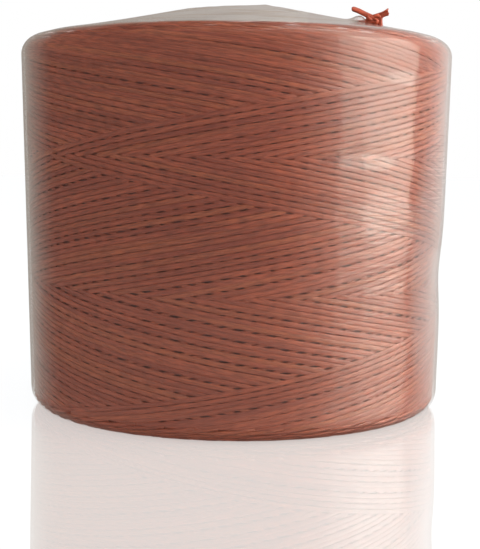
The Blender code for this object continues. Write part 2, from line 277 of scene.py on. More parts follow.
@dataclass(frozen=True)
class Outline:
    """Outline of the wound package and of the wrap drawn taut over it, in metres."""

    top_radius: float = 0.0443
    base_radius: float = 0.0428
    height: float = 0.0751
    shoulder: float = 0.0028
    floor: float = 0.0007
    thread_floor: float = 0.0002  # the strands sag onto the wrap's base
    thread_rise: float = 0.00042  # and their turn-backs stand up towards its top
    core_radius: float = 0.0150
    core_length: float = 0.0811
    core_rim: float = 0.0006
    waist_depth: float = 0.0006
    waist_height: float = 0.0285
    waist_azimuth: float = math.radians(80)
    waist_reach: Span = (0.0065, 0.40)  # in height and in azimuth

    @property
    def base_centre(self) -> Span:
        """(radius, height) of the lower shoulder's centre."""
        return self.base_radius - self.shoulder, self.floor + self.shoulder

    @property
    def foot_centre(self) -> Span:
        """(radius, height) of the centre that the strands turn about at the base."""
        return self.base_radius - self.shoulder, self.thread_floor + self.shoulder

    @property
    def top_centre(self) -> Span:
        """(radius, height) of the upper shoulder's centre."""
        return self.top_radius - self.shoulder, self.floor + self.height - self.shoulder

    @property
    def brow_centre(self) -> Span:
        """(radius, height) of the centre that the strands turn about at the top."""
        return self.top_centre[0], self.top_centre[1] + self.thread_rise

    @property
    def rim_centre(self) -> Span:
        """(radius, height) of the centre of the core's rounded rim."""
        return self.core_radius - self.core_rim, self.floor + self.core_length - self.core_rim

    @property
    def side_angle(self) -> float:
        """Angle of the side's outward normal above the horizontal."""
        (r0, z0), (r1, z1) = self.base_centre, self.top_centre
        return math.atan2(z1 - z0, r1 - r0) - QUARTER

    @property
    def tent_angle(self) -> float:
        """Angle of the outward normal of the wrap's tent between shoulder and core."""
        (r0, z0), (r1, z1) = self.top_centre, self.rim_centre
        gap = math.hypot(r1 - r0, z1 - z0)
        return math.atan2(z1 - z0, r1 - r0) - math.acos((self.shoulder - self.core_rim) / gap)

    def along(self, distance: Array, level: Array) -> tuple[Array, Array, Array]:
        """Places on the package's side and shoulders.

        Formula: the side is a straight line whose distance is its height. Past either end the
        point turns on the shoulder's circle by the distance left over, divided by its radius.

        Args:
            distance: distance along the outline, equal to the height on the side.
            level: how far outside the outline, in metres.

        Returns:
            Radii, heights and angles of the outward normal.
        """
        (r0, z0), (r1, z1) = self.foot_centre, self.brow_centre
        share = np.clip((distance - z0) / (z1 - z0), 0.0, 1.0)
        past = np.minimum(distance - z0, 0.0) + np.maximum(distance - z1, 0.0)
        angle = self.side_angle + past / self.shoulder
        radius = r0 + (r1 - r0) * share + (self.shoulder + level) * np.cos(angle)
        height = z0 + (z1 - z0) * share + (self.shoulder + level) * np.sin(angle)
        return radius, height, angle

    def waist(self, azimuth: Array, height: Array) -> Array:
        """How far the package is drawn in by the slack place low on its right side.

        Formula: a bell curve in height times a bell curve in azimuth.

        Args:
            azimuth: azimuths of the places.
            height: their heights.

        Returns:
            Depths in metres.
        """
        up = (height - self.waist_height) / self.waist_reach[0]
        turn = turn_from(self.waist_azimuth, azimuth) / self.waist_reach[1]
        return self.waist_depth * np.exp(-(up**2) - turn**2)

    def wrap(self, offset: float, steps: tuple[int, int, int]) -> Array:
        """The taut wrap's profile from the edge of its flat base to the edge of the core's mouth.

        Formula: arcs about the two shoulders and the core's rim, joined by straight lines that
        touch them, each piece cut into equal steps.

        Args:
            offset: distance outside the thread.
            steps: steps on the side, on each shoulder and on the tent.

        Returns:
            Rows of (radius, height).
        """
        side, arc, tent = steps
        parts = []
        for centre, radius, start, end, count in (
            (self.base_centre, self.shoulder, -QUARTER, self.side_angle, arc),
            (self.top_centre, self.shoulder, self.side_angle, self.tent_angle, arc),
            (self.rim_centre, self.core_rim, self.tent_angle, QUARTER, arc // 2),
        ):
            angle = np.linspace(start, end, count + 1)
            way = np.stack([np.cos(angle), np.sin(angle)], axis=1)
            parts.append(centre + (radius + offset) * way)
        rows = [parts[0]]
        for before, after, count in zip(parts, parts[1:], (side, tent)):
            share = np.linspace(0, 1, count + 1)[1:-1, None]
            rows += [before[-1] + (after[0] - before[-1]) * share, after]
        return np.concatenate(rows)


# ---- The winding --------------------------------------------------------------------------------


@dataclass(frozen=True)
class WindingLaw:
    """Where the strand lies in the outermost complete layer.

    The strand makes 3 - 1/strokes turns in a double traverse, so each double traverse lies one
    strand's width beside the one before, and after this many strokes the layer is closed. Places
    along the strand are counted in samples, one for each crossing with a strand that runs the
    other way.
    """

    strokes: int = 47
    rise: float = 0.0509  # climb in one turn
    low_tip: float = 0.00175  # where the two straight ways would meet at the base
    tip_azimuth: float = math.radians(-56.2)  # azimuth of the newest turn at the base
    tip_round: float = 8 / 360  # how many turns the rounding of a tip takes at the base
    top_round: float = 4 / 360  # and at the top
    lag: float = 45 / 360  # turns in which the lag of a strand that leaves the top falls to 1/e
    lag_share: float = 0.6  # share of its slope that it lacks at first
    upper: float = -0.00022  # level of the strand where it is the younger one
    lower: float = -0.00036

    @property
    def per_turn(self) -> int:
        """Samples in one turn."""
        return 2 * self.strokes

    @property
    def per_stroke(self) -> int:
        """Samples in one stroke, from one end to the other."""
        return 3 * self.strokes - 1

    @property
    def early(self) -> float:
        """Turns by which a tip at the top comes early, which keeps the straight ways in place."""
        return self.lag_share * self.lag / 2

    def samples(self) -> Array:
        """All places of the layer, the oldest first. 0 is the newest turn at the base."""
        return np.arange(self.per_stroke * (1 - 2 * self.strokes), self.per_stroke + 1)

    def azimuth(self, places: Array) -> Array:
        """Azimuth of the places, which grows evenly along the strand."""
        return self.tip_azimuth + 2 * np.pi * places / self.per_turn

    def climb(self, places: Array) -> Array:
        """Distance along the outline.

        Formula: a triangle wave between the two tips. The low tip is rounded as a hyperbola that
        has the two straight ways as its asymptotes. At the top the strand lags behind its guide:
        t turns after the tip it has fallen by rise * (t - lag_share * lag * (1 - exp(-t / lag))).
        The corner of that tip is rounded by a hyperbola too.

        Args:
            places: places along the strand, in samples.

        Returns:
            Distances in metres, as Outline.along takes them.
        """
        local = np.mod(places, 2 * self.per_stroke)
        turns = np.minimum(local, 2 * self.per_stroke - local) / self.per_turn
        low = np.sqrt(turns**2 + self.tip_round**2) - turns
        since = self.since_top(places)
        soft = np.sqrt(since**2 + self.top_round**2)
        after, before = (soft + since) / 2, (soft - since) / 2
        lagging = self.lag_share * self.lag * (1 - np.exp(-after / self.lag))
        whole = self.per_stroke / self.per_turn
        return self.low_tip + self.rise * (whole - self.early - after - before + lagging + low)

    def since_top(self, places: Array) -> Array:
        """Turns since the strand's last tip at the top, negative where it still climbs to one."""
        local = np.mod(places, 2 * self.per_stroke)
        return (local - self.per_stroke) / self.per_turn + self.early

    def crowding(self, places: Array) -> Array:
        """How much closer than elsewhere the strands lie, from 0 to lag_share."""
        since = self.since_top(places)
        return (since > 0) * self.lag_share * np.exp(-np.maximum(since, 0.0) / self.lag)

    def is_younger(self, places: Array) -> Array:
        """True where the strand was laid after the one that it crosses there.

        Formula: with k and j double traverses since each was laid and l samples from the base to
        the crossing, the climbing strand is the younger if k - j < l / samples in a stroke. The
        partner's count follows from the strokes' even spacing, modulo the number of strokes.

        Args:
            places: places along the strand, in whole samples.

        Returns:
            True or False for each place.
        """
        local = np.mod(places, 2 * self.per_stroke)
        laps = -np.floor_divide(places, 2 * self.per_stroke)
        climbing = local <= self.per_stroke
        from_base = np.where(climbing, local, 2 * self.per_stroke - local)
        own = np.where(climbing, laps, laps - 1)
        other = np.mod(np.where(climbing, own + from_base, own - from_base), self.strokes)
        share = from_base / self.per_stroke
        return np.where(climbing, own - other < share, other - own > share)


@dataclass(frozen=True)
class ThreadLayer:
    """The outermost layer: one flat strand laid 47 times up and down, crossing itself."""

    outline: Outline
    law: WindingLaw
    width: float = 0.00103
    thickness: float = 0.00046
    squeezed: float = 0.70  # width of the strand where it lies under another, as a share
    drift: float = 0.00020  # how far a strand strays to its side
    drift_waves: tuple[Span, ...] = ((0.7, 41.0), (0.5, 13.0))  # shares and steps in samples
    roll: float = 0.13  # how far it tips about its own line, in radians
    roll_step: float = 9.0
    spread: float = 0.07  # how much its width changes, as a share
    spread_step: float = 17.0
    shingle: float = 0.07  # tip of a strand that rests on its older neighbour, in radians
    crowded_shingle: float = 4.0  # how many times more it tips where strands crowd
    seed: int = 7

    def line(self) -> tuple[Array, Array, Array]:
        """The strand's middle line.

        Formula: azimuth and climb follow the winding law. The level is the upper one where the
        strand is the younger at a crossing and the lower one elsewhere, joined by straight runs.

        Returns:
            Points, outward normals and widths.
        """
        rng = np.random.default_rng(self.seed)
        law, whole = self.law, self.law.samples()
        places = whole.astype(float)
        azimuth, younger = law.azimuth(places), law.is_younger(whole)
        straying = sum(share * wander(rng, places, step) for share, step in self.drift_waves)
        climb = law.climb(places) + self.drift * straying
        level = np.where(younger, law.upper, law.lower)
        radius, height, angle = self.outline.along(climb, level)
        points = at_azimuth(radius - self.outline.waist(azimuth, height), azimuth, height)
        falling = np.mod(places, 2 * law.per_stroke) > law.per_stroke
        tipped = self.shingle * (1 + self.crowded_shingle * law.crowding(places))
        tip = angle + self.roll * wander(rng, places, self.roll_step)
        tip = tip + np.where(falling, -tipped, tipped)
        outward = at_azimuth(np.cos(tip), azimuth, np.sin(tip))
        widths = self.width * (1 + self.spread * wander(rng, places, self.spread_step))
        return points, outward, widths * np.where(younger, 1.0, self.squeezed)

    def build(self) -> list[bpy.types.Object]:
        """Makes the layer as two pieces, the older and the younger half of the strand."""
        points, outward, widths = self.line()
        rings = EIGHT_SIDED.rings(points, outward, widths, self.thickness)
        lengths, half = lengths_of(points), len(points) // 2
        parts = {"older": slice(0, half + 1), "younger": slice(half, None)}
        return [
            strands_object(f"strand_{age}_half", rings[part][None], lengths[part][None])
            for age, part in parts.items()
        ]


@dataclass(frozen=True)
class InnerLayers:
    """What lies under the outermost layer, a turned form seen only between the strands."""

    outline: Outline
    depth: float = 0.00076
    face_depth: float = 0.0011
    bore_gap: float = 0.0003
    waisted: float = 0.03  # the waist is drawn in outside this radius
    side_steps: int = 59
    shoulder_steps: int = 8
    columns: int = 180

    def build(self) -> bpy.types.Object:
        """Makes the turned form.

        Formula: the package's outline moved inwards by depth, closed along the core, turned in
        equal steps about the axis.

        Returns:
            The object.
        """
        o = self.outline
        z0, z1 = o.foot_centre[1], o.brow_centre[1]
        quarter = o.shoulder * QUARTER
        distance = np.concatenate([
            np.linspace(z0 - quarter, z0, self.shoulder_steps + 1)[:-1],
            np.linspace(z0, z1, self.side_steps + 1),
            np.linspace(z1, z1 + quarter, self.shoulder_steps + 1)[1:],
        ])
        radius, height, _ = o.along(distance, -self.depth)
        low = o.thread_floor + self.face_depth
        high = o.floor + o.height + o.thread_rise - self.face_depth
        bore = o.core_radius + self.bore_gap
        radius = np.concatenate([[bore], radius, [bore]])[:, None]
        height = np.concatenate([[low], np.clip(height, low, high), [high]])[:, None]
        azimuth = np.linspace(0, 2 * np.pi, self.columns + 1)[:-1]
        drawn = radius - o.waist(azimuth, height) * (radius > self.waisted)
        quads = grid_quads(len(radius), self.columns, close_rows=True)
        return mesh_object("inner_layers", at_azimuth(drawn, azimuth, height), quads)


class Face(Enum):
    """An end of the package, with the sign of its outward way along Z."""

    TOP = 1
    BASE = -1


@dataclass(frozen=True)
class EndFace:
    """The turn-backs of the layers under the outermost one, seen on an end of the package.

    Each layer shows as one ring of short arcs: the strand comes up, turns back and dives again
    under the next layer out. On its way up an arc lies inside the ones that it crosses, and on its
    way down outside them.
    """

    outline: Outline
    law: WindingLaw
    face: Face
    first_turn: float  # how far round the shoulder the outermost of these rings lies, in radians
    pitch: float = 0.00092
    width: float = 0.00095
    thickness: float = 0.00042
    reach: float = math.radians(11.5)
    steps: int = 8
    aside: float = 0.00024  # how far an arc lies to either side of its ring
    aside_turn: float = math.radians(2.5)  # angle over which it changes sides
    sunk: float = 0.00006
    spreads: tuple[float, float, float] = (0.010, 0.00005, 0.00007)  # of angle, radius and height
    shade_shift: float = 4.0  # the arcs start up to this far along the thread's shades, in metres
    flat_ends: Span = (0.0002, 0.0006)  # room beside the shoulder's centre and the core
    wrap_gap: float = 0.00060  # room between the outline and the wrap's inner skin
    seed: int = 11

    def ring_places(self) -> tuple[Array, Array]:
        """Radius and height of each ring's top, from the shoulder in to the core."""
        o = self.outline
        centre = o.brow_centre if self.face is Face.TOP else o.foot_centre
        arm = o.shoulder - self.thickness / 2
        turns = np.arange(self.first_turn, QUARTER, self.pitch / o.shoulder)
        start, end = centre[0] - self.flat_ends[0], o.core_radius + self.flat_ends[1]
        flat = np.arange(start, end, -self.pitch)
        radius = np.concatenate([centre[0] + arm * np.cos(turns), flat])
        rise = np.concatenate([np.sin(turns), np.ones(len(flat))])
        return radius, centre[1] + self.face.value * arm * rise

    def kept_under_wrap(self, section: Array) -> Array:
        """The section's points pressed back to the taut wrap's inner skin where they would pass it.

        Formula: the skin is the arc about the shoulder's centre, larger by wrap_gap, and level
        inside of that centre.

        Args:
            section: points, array (..., 3).

        Returns:
            The points, in the same order.
        """
        o, sign = self.outline, self.face.value
        centre = o.top_centre if self.face is Face.TOP else o.base_centre
        outside = np.maximum(np.hypot(section[..., 0], section[..., 1]) - centre[0], 0.0)
        skin = np.sqrt(np.maximum((o.shoulder + self.wrap_gap) ** 2 - outside**2, 0.0))
        pressed = section.copy()
        pressed[..., 2] = sign * np.minimum(sign * section[..., 2], sign * centre[1] + skin)
        return pressed

    def build(self) -> bpy.types.Object:
        """Makes all arcs of the face.

        Formula: at an angle x from its middle an arc is rise * (sqrt(x^2 + r^2) - r) deep, with r
        the rounding of a tip, and lies inside its ring before the middle and as far outside it
        after the middle, with a smooth change between.

        Returns:
            The object.
        """
        rng = np.random.default_rng(self.seed)
        law = self.law
        radius, height = (places[:, None, None] for places in self.ring_places())
        shape = (len(radius), law.strokes, 1)
        x = np.linspace(-self.reach, self.reach, self.steps + 1)
        first = rng.uniform(0, 1, (len(radius), 1))
        middle = 2 * np.pi * (np.arange(law.strokes) + first) / law.strokes
        middle = middle + rng.normal(0, self.spreads[0], middle.shape)
        depth = law.rise * (np.hypot(x / (2 * np.pi), law.tip_round) - law.tip_round)
        r = radius + self.aside * np.tanh(x / self.aside_turn)
        r = r + rng.normal(0, self.spreads[1], shape)
        lift = rng.normal(0, self.spreads[2], shape) - self.sunk
        azimuth = middle[..., None] + x
        points = at_azimuth(r, azimuth, height - self.face.value * (depth - lift))
        points = points.reshape(-1, len(x), 3)
        outward = at_azimuth(1.0, azimuth, 0.0).reshape(points.shape)
        section = FOUR_SIDED.rings(points, outward, self.width, self.thickness)
        lengths = lengths_of(points) + rng.uniform(0, self.shade_shift, (len(points), 1))
        name = f"turn_backs_{self.face.name.lower()}"
        return strands_object(name, self.kept_under_wrap(section), lengths)


# ---- The loose end ------------------------------------------------------------------------------


def in_view(right: Array, up: Array, near: Array = 0.0) -> Array:
    """Vectors given to the right, up and towards the camera."""
    return np.stack(np.broadcast_arrays(right, np.negative(near), up), axis=-1)


@dataclass(frozen=True)
class LooseEnd:
    """The strand's end: it runs along the top edge, comes up through the wrap and is knotted."""

    outline: Outline
    law: WindingLaw
    azimuth: float = math.radians(54.2)
    radius: float = 0.0344
    wrap_offset: float = 0.0007
    width: float = 0.0010
    thickness: float = 0.00045
    bend: float = 0.0012  # radius of the bend that turns the strand upwards
    rounds: int = 2  # whole turns that it makes under the wrap
    edge_radius: float = 0.0405  # radius of these turns before they close in
    edge_rise: float = 0.0003
    start_level: float = -0.0002
    path_points: int = 240
    settling: Span = (0.0, 0.05)  # shares of the way over which it settles on the top edge
    closing: Span = (0.30, 1.0)  # and over which it closes in
    flare: float = 0.35  # how much wider it gets where it comes out, as a share
    flared: Span = (0.990, 1.0)
    stem_way: float = 0.002  # length of the ways at both ends of the upright run
    stem_short: float = 0.0001  # how far below the film's outer skin that run ends
    knot_centre: Span = (-0.00122, 0.00114)
    knot_size: tuple[float, float, float] = (0.00047, 0.00042, 0.00031)  # half, each way
    knot_strand: Span = (0.00092, 0.00056)  # width and thickness
    frays: int = 13
    fray_strand: Span = (0.00030, 0.00034)
    seed: int = 23

    def exit_point(self) -> Array:
        """Where the strand comes through the wrap's outer skin.

        Formula: the tent is the straight line between the shoulder's and the rim's circles, both
        larger by the wrap's offset, at the tail's radius.

        Returns:
            The point.
        """
        o = self.outline
        normal = np.array([math.cos(o.tent_angle), math.sin(o.tent_angle)])
        start = o.top_centre + (o.shoulder + self.wrap_offset) * normal
        end = o.rim_centre + (o.core_rim + self.wrap_offset) * normal
        share = (start[0] - self.radius) / (start[0] - end[0])
        return at_azimuth(self.radius, self.azimuth, start[1] + (end[1] - start[1]) * share)

    def at_knot(self, right: Array, up: Array, near: Array = 0.0) -> Array:
        """Points of the knot, in metres from where the strand comes through the wrap."""
        return self.exit_point() + in_view(right, up, near)

    def ribbon(
        self, name: str, path: Array, outward: Array, widths: Array, thickness: float
    ) -> bpy.types.Object:
        """A flat strand along the path, as its own piece."""
        facing = np.broadcast_to(outward, path.shape)
        rings = SIX_SIDED.rings(path, facing, widths, thickness)
        return strands_object(name, rings[None], lengths_of(path)[None])

    def build_tail(self) -> bpy.types.Object:
        """The strand from the layer's last turn-back, round the top edge and up through the wrap.

        Formula: a spiral whose radius falls smoothly from the shoulder to the tail's own, then a
        quarter bend upwards.

        Returns:
            The object.
        """
        o, law = self.outline, self.law
        first = law.azimuth(law.per_stroke)
        last = self.azimuth + 2 * np.pi * self.rounds - self.bend / self.radius
        azimuth = np.linspace(first, last, self.path_points)
        share = (azimuth - first) / (last - first)
        radius, height, angle = o.along(law.climb(law.per_stroke), self.start_level)
        settle = smooth_step(*self.settling, share)
        r = radius + (self.edge_radius - radius) * settle
        r = r + (self.radius - self.edge_radius) * smooth_step(*self.closing, share)
        z = height + (o.floor + o.height + self.edge_rise - height) * settle
        path = at_azimuth(r, azimuth, z)
        tip = angle + (QUARTER - angle) * settle
        outward = at_azimuth(np.cos(tip), azimuth, np.sin(tip))
        way = unit(path[-1] - path[-2])
        turn = np.linspace(0, QUARTER, 7)[1:, None]
        curve = path[-1] + self.bend * (way * np.sin(turn) + UP * (1 - np.cos(turn)))
        top = curve[-1].copy()
        top[2] = self.exit_point()[2] - self.stem_short
        stem = hermite(curve[-1], UP * self.stem_way, top, UP * self.stem_way, 3)[1:]
        points = np.concatenate([path, curve, stem])
        curve_out = UP * np.cos(turn) - way * np.sin(turn)
        normals = np.concatenate([outward, curve_out, np.broadcast_to(-way, stem.shape)])
        widths = self.width * (1 + self.flare * smooth_step(*self.flared, shares_of(points)))
        return self.ribbon("thread_tail_strand", points, normals, widths, self.thickness)

    def build_knot(self) -> bpy.types.Object:
        """The knot drawn tight: an overhand knot of the flat strand, wider than it is high.

        Formula: a trefoil, x = sin t + 2 sin 2t, y = cos t - 2 cos 2t, depth = -sin 3t, scaled to
        the knot's size along each way and carried by the strand's section.

        Returns:
            The object.
        """
        t = np.linspace(0, 2 * np.pi, 145)[:-1]
        right, up = np.sin(t) + 2 * np.sin(2 * t), np.cos(t) - 2 * np.cos(2 * t)
        trefoil = in_view(right, up, -np.sin(3 * t)) * self.knot_size
        outward = unit(trefoil + in_view(0.0, 0.0, 0.0006))
        loop = np.pad(self.at_knot(*self.knot_centre) + trefoil, ((1, 1), (0, 0)), "wrap")
        around = np.pad(outward, ((1, 1), (0, 0)), "wrap")
        rings = SIX_SIDED.rings(loop, around, *self.knot_strand)[1:-1]
        count, corners, _ = rings.shape
        side = np.arange(corners) / corners
        uvs = face_uvs(np.linspace(0, 1.6, count + 1), side, side + 1 / corners)
        return mesh_object("knot", rings, grid_quads(count, corners, close_rows=True), uvs)

    def build_neck(self) -> bpy.types.Object:
        """The strand where it stands out of the wrap, at the knot's right side."""
        start, end = self.at_knot(0.0, -0.0005), self.at_knot(0.00012, 0.00165, 0.0001)
        path = hermite(start, in_view(0.0, 0.0020), end, in_view(0.0008, 0.0018), 10)
        widths = 0.00118 - 0.00030 * shares_of(path)
        return self.ribbon("knot_neck", path, in_view(-0.3, 0.0, 0.95), widths, 0.00050)

    def build_foot(self) -> bpy.types.Object:
        """The short run of strand that leaves the knot's foot to the left, into the wrap."""
        start = self.at_knot(-0.0006, 0.0008, 0.0002)
        end = self.at_knot(-0.0044, 0.00066, -0.0001)
        path = hermite(start, in_view(-0.0030, 0.0003), end, in_view(-0.0026, -0.0004), 14)
        widths = 0.00112 * (1 - 0.80 * smooth_step(0.35, 1.0, shares_of(path)))
        return self.ribbon("knot_foot", path, in_view(0.0, 0.43, 0.9), widths, 0.00045)

    def build_left_end(self) -> bpy.types.Object:
        """The left end: a flat strand that leans up and out to the left, with a blunt curled tip.

        Returns:
            The object.
        """
        root = self.at_knot(-0.0008, 0.0012, 0.0004)
        bend = self.at_knot(-0.0034, 0.00228, 0.0001)
        end = self.at_knot(-0.0056, 0.00305)
        first = hermite(root, in_view(-0.0026, 0.0008), bend, in_view(-0.0022, 0.0011), 10)
        second = hermite(bend, in_view(-0.0018, 0.0009), end, in_view(-0.0014, -0.0002), 10)
        path = np.concatenate([first, second[1:]])
        share = shares_of(path)
        tilt = 0.15 + 0.25 * share
        blunt = 1 - 0.50 * smooth_step(0.93, 1.0, share) ** 2
        widths = 0.00100 * (1 + 0.16 * share) * blunt
        outward = in_view(0.0, np.sin(tilt), np.cos(tilt))
        return self.ribbon("knot_left_end", path, outward, widths, 0.00048)

    def build_right_end(self) -> bpy.types.Object:
        """The right end: it leans up to the right and frays into a fan of fine ribbons.

        Formula: ribbon k of n starts and ends k / (n - 1) of the way across the strand, and the
        fan is wider at its cut end than at its root.

        Returns:
            The object.
        """
        rng = np.random.default_rng(self.seed)
        across = np.linspace(-1, 1, self.frays)
        strayed = rng.uniform(-1, 1, (self.frays, 3)) * (0.00016, 0.00006, 0.00035)
        root = self.at_knot(-0.0012 + 0.0004 * across, 0.00122 - 0.00055 * across, 0.0003)
        tip = self.at_knot(
            0.00152 + strayed[:, 0], 0.00252 - 0.00066 * across + strayed[:, 1], strayed[:, 2]
        )
        root_way = in_view(0.0018, 0.0010 + 0.0003 * across)
        tip_way = in_view(0.0015, 0.0009 - 0.0011 * across)
        points = hermite(root, root_way, tip, tip_way, 9)
        outward = np.broadcast_to(in_view(0.0, 0.3, 0.9), points.shape)
        rings = FOUR_SIDED.rings(points, outward, *self.fray_strand)
        lengths = lengths_of(points) + rng.uniform(0, 0.5, (self.frays, 1))
        return strands_object("knot_right_end", rings, lengths)


# ---- The wrap -----------------------------------------------------------------------------------


@dataclass(frozen=True)
class ShrinkWrap:
    """The clear film, shrunk taut over the package and gathered towards the core at both ends."""

    outline: Outline
    offset: float = 0.0007
    wall: float = 0.00006
    steps: tuple[int, int, int] = (48, 10, 40)  # on the side, on each shoulder and on the tent
    columns: int = 360
    mouth: float = 0.002  # radius of the fan of triangles that closes each pole
    pleats: tuple[int, ...] = (13, 17, 23, 31)
    pleat_depth: float = 0.00004
    pleat_lean: Span = (90.0, 0.03)  # radians in a metre outwards, and the radius they count from
    pleated: Span = (0.040, 0.020)  # radii between which the pleats grow
    smoothed: Span = (0.020, 0.014)  # and between which part of them goes again
    smoothed_share: float = 0.6
    buckled: Span = (0.036, 0.043)  # radii between which the buckles begin
    pucker_height: float = 0.04  # the pucker is above this height
    tent_height: float = 0.076  # and the tent above this one
    base_fade: float = 0.002  # the film's waves grow over this height above its base
    buckles: tuple[tuple[int, float], ...] = ((7, 30.0), (11, -22.0), (19, 15.0))  # and their lean
    buckle_depth: float = 0.00003
    sink: float = 0.00042  # how much lower than its taut form the film lies over the core
    sag: Span = (0.00002, 0.00014)  # of the tent: everywhere, and more to the left
    tent: Span = (0.016, 0.0255)  # inner radius and breadth of the tent
    peak: float = 0.00060  # height of the gathered peak at the front of the core's rim
    peak_place: Span = (0.0057, -0.0132)
    peak_reach: float = 0.0070
    pucker: float = 0.0012  # how far the strand's end pulls the film up beside the knot
    pucker_azimuth: float = math.radians(49.6)
    pucker_radius: float = 0.0312
    pucker_reach: Span = (0.0016, 0.0013)  # outwards and round the package
    seed: int = 5

    def ripple(self, radius: Array, azimuth: Array, height: Array) -> Array:
        """How far the film stands off its taut form.

        Formula: radial pleats that grow towards the core, shallow upright buckles on the side, a
        small pucker beside the knot, a tent that sags more on the left, and a peak on the core's
        rim.

        Args:
            radius: radii of the taut form's points.
            azimuth: their azimuths.
            height: their heights.

        Returns:
            Distances outwards, in metres.
        """
        rng = np.random.default_rng(self.seed)
        smoothed = self.smoothed_share * smooth_step(*self.smoothed, radius)
        inward = smooth_step(*self.pleated, radius) * (1 - smoothed)
        on_side = smooth_step(*self.buckled, radius)
        total = -self.outline.waist(azimuth, height)
        for count in self.pleats:
            phase, size = rng.uniform(0, 2 * np.pi), rng.uniform(0.5, 1.0)
            leant = self.pleat_lean[0] * (radius - self.pleat_lean[1])
            wave = np.sin(count * azimuth + phase + leant)
            total = total + self.pleat_depth * size * inward * wave
        for count, lean in self.buckles:
            wave = np.sin(count * azimuth + lean * height + rng.uniform(0, 2 * np.pi))
            total = total + self.buckle_depth * on_side * wave
        out = (radius - self.pucker_radius) / self.pucker_reach[0]
        aside = turn_from(self.pucker_azimuth, azimuth) * self.pucker_radius / self.pucker_reach[1]
        pucker = self.pucker * np.exp(-(out**2) - aside**2)
        total = total + pucker * (height > self.pucker_height)
        share = np.clip((radius - self.tent[0]) / self.tent[1], 0.0, 1.0)
        sag = np.sin(np.pi * share) * (self.sag[0] - self.sag[1] * np.sin(azimuth))
        x = radius * np.sin(azimuth) - self.peak_place[0]
        y = -radius * np.cos(azimuth) - self.peak_place[1]
        peak = self.peak * np.exp(-np.hypot(x, y) / self.peak_reach)
        return total + (height > self.tent_height) * (peak - (1 - share) * self.sink - sag)

    def skin(self, offset: float) -> tuple[Array, Array]:
        """One skin, from the base's middle to the mouth's middle.

        Args:
            offset: its distance outside the thread.

        Returns:
            Its grid of points and the length along its profile at each row, in centimetres.
        """
        taut = self.outline.wrap(offset, self.steps)
        base = np.linspace(self.mouth, taut[0, 0], 14)[:-1]
        mouth = np.linspace(taut[-1, 0], self.mouth, 8)[1:]
        profile = np.concatenate([
            np.stack([base, np.full(len(base), taut[0, 1])], axis=1),
            taut,
            np.stack([mouth, np.full(len(mouth), taut[-1, 1])], axis=1),
        ])
        azimuth = np.linspace(0, 2 * np.pi, self.columns + 1)[:-1]
        radius, height = profile.T[..., None]
        way = np.gradient(profile, axis=0)
        normal = unit(np.stack([way[:, 1], -way[:, 0]], axis=1))
        over_base = smooth_step(0.0, self.base_fade, height - taut[0, 1])
        standing = self.ripple(radius, azimuth, height) * over_base
        points = at_azimuth(
            radius + standing * normal[:, :1], azimuth, height + standing * normal[:, 1:]
        )
        return points, CENTIMETRES * lengths_of(profile)

    def build(self) -> bpy.types.Object:
        """Makes the film as a closed shell of two skins, each shut by one point on the axis.

        Its UV map holds the length round the package, from the back, and the length along the
        profile, in centimetres.

        Returns:
            The object.
        """
        outer, along = self.skin(self.offset)
        inner, _ = self.skin(self.offset - self.wall)
        columns, rows = self.columns, len(along)
        ring = np.arange(columns)
        after, last = (ring + 1) % columns, (rows - 1) * columns
        pole = np.full(columns, rows * columns)
        base = np.stack([pole, after, ring, ring], axis=1)
        top = np.stack([pole + 1, last + ring, last + after, last + after], axis=1)
        faces = np.concatenate([grid_quads(rows, columns), base, top])
        four = (faces[:, 3] != faces[:, 2])[:, None]
        lining = np.where(four, faces[:, ::-1], faces[:, [1, 0, 2, 2]]) + rows * columns + 2
        girth = 2 * np.pi * CENTIMETRES * self.outline.top_radius / columns
        place = (ring + columns // 2) % columns
        body = face_uvs(along, place * girth, (place + 1) * girth)[..., ::-1]
        uvs = np.concatenate([body.reshape(-1, 4, 2), np.zeros((2 * columns, 4, 2))])
        points = [
            part for grid in (outer, inner) for part in (grid.reshape(-1, 3), grid[[0, -1], 0] * UP)
        ]
        return mesh_object(
            "film", np.concatenate(points), np.concatenate([faces, lining]),
            np.concatenate([uvs, uvs[:, ::-1]]),
        )


# ---- Finishes -----------------------------------------------------------------------------------


